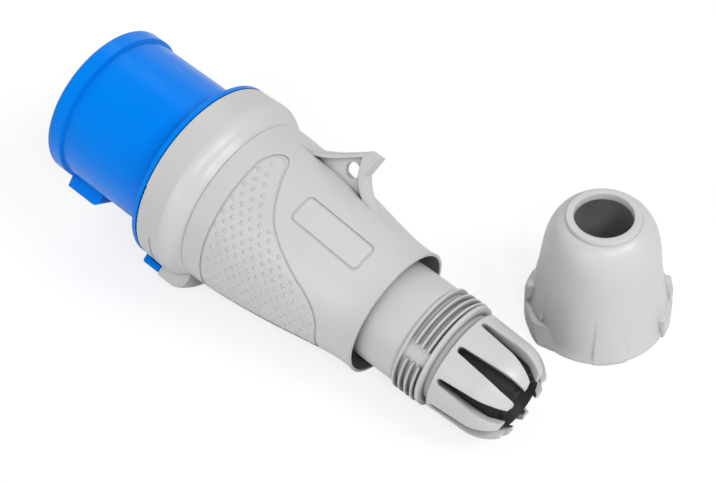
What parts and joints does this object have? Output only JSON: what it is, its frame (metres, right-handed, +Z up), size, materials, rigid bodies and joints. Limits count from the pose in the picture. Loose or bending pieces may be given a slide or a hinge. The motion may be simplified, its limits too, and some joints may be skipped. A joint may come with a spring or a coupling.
{
  "type": "industrial pin and sleeve plug",
  "caption": "Industrial pin and sleeve plug with a blue shroud, tapering grey handle, clamp fingers and a domed gland nut taken off beside it.",
  "frame": {"origin": "middle of the whole part's footprint, on the surface it lies on", "axes": "+Z up; +X along the lying plug from its mouth to its cable end, seen from above; +Y towards the side where the nut stands"},
  "size_m": [0.1622, 0.0952, 0.0573],
  "materials": {
    "light_grey_plastic": "fine satin moulded polyamide",
    "blue_plastic": "smooth glossy moulded polyamide",
    "nickel_plated_brass": "nickel plated, turned",
    "plated_steel": "zinc plated",
    "black_rubber": "matt moulded rubber"
  },
  "bodies": {
    "handle_body": {"handle": "light_grey_plastic", "clamp_cage": "light_grey_plastic", "seal_outer_ring": "black_rubber", "seal_inner_ring": "black_rubber", "gland_nut": "light_grey_plastic"},
    "front_unit": {"shroud": "blue_plastic", "flange_gasket": "black_rubber", "contact_carrier": "blue_plastic", "contact_retainer": "blue_plastic", "retainer_screw": "plated_steel", "earth_pin": "nickel_plated_brass", "earth_terminal_screw": "plated_steel", "earth_wire_leaf": "plated_steel", "line_pin": "nickel_plated_brass", "line_terminal_screw": "plated_steel", "line_wire_leaf": "plated_steel", "neutral_pin": "nickel_plated_brass", "neutral_terminal_screw": "plated_steel", "neutral_wire_leaf": "plated_steel"}
  },
  "joints": [
    {"name": "bayonet_twist", "type": "hinge", "parent": "handle_body", "child": "front_unit", "pos_m": [-0.05795, -0.01998, 0.03168], "axis": [0.9889, 0, -0.1484], "range_deg": [-25, 0]}
  ]
}
